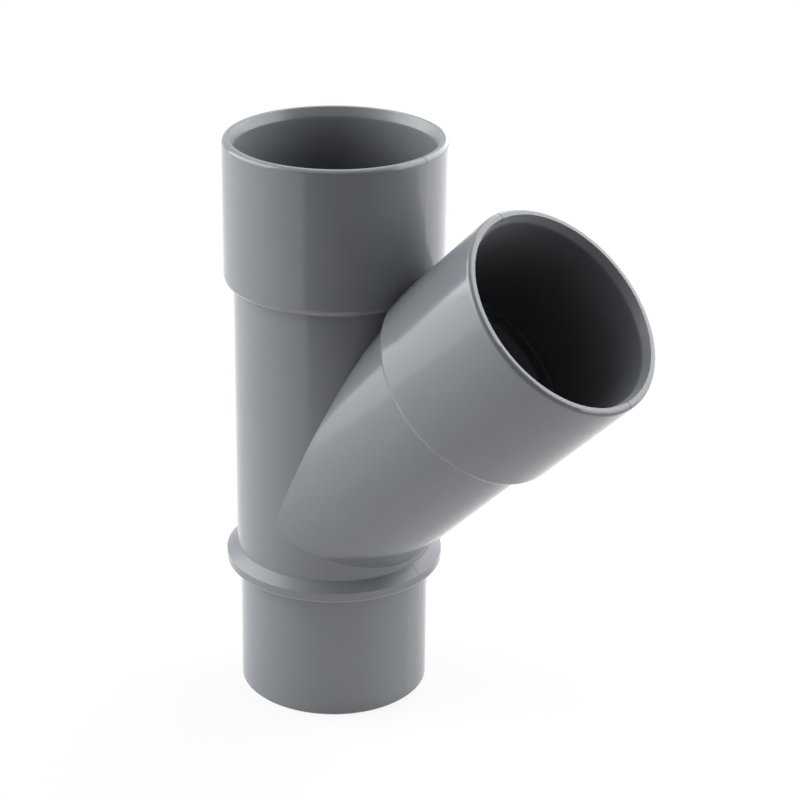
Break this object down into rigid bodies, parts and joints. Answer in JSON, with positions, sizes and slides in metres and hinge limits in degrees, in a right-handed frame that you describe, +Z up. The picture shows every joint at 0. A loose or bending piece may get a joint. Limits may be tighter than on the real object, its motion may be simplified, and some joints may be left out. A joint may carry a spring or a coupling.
{
  "type": "lateral wye pipe fitting",
  "caption": "Grey plastic lateral wye for glued waste pipe: a straight run with a plain spigot and stop bead below, a socket above, and an equal socket branching off at an acute angle.",
  "frame": {"origin": "centre of the spigot's end face, on the run's axis", "axes": "+Z up the run's axis, from the spigot to the upper socket; the branch leans towards +X in the XZ plane; +Y completes the right-handed frame"},
  "size_m": [0.1186, 0.0574, 0.1521],
  "materials": {
    "grey_pvc": "semi-gloss moulded"
  },
  "bodies": {
    "root": {"wye_body": "grey_pvc"}
  },
  "joints": []
}
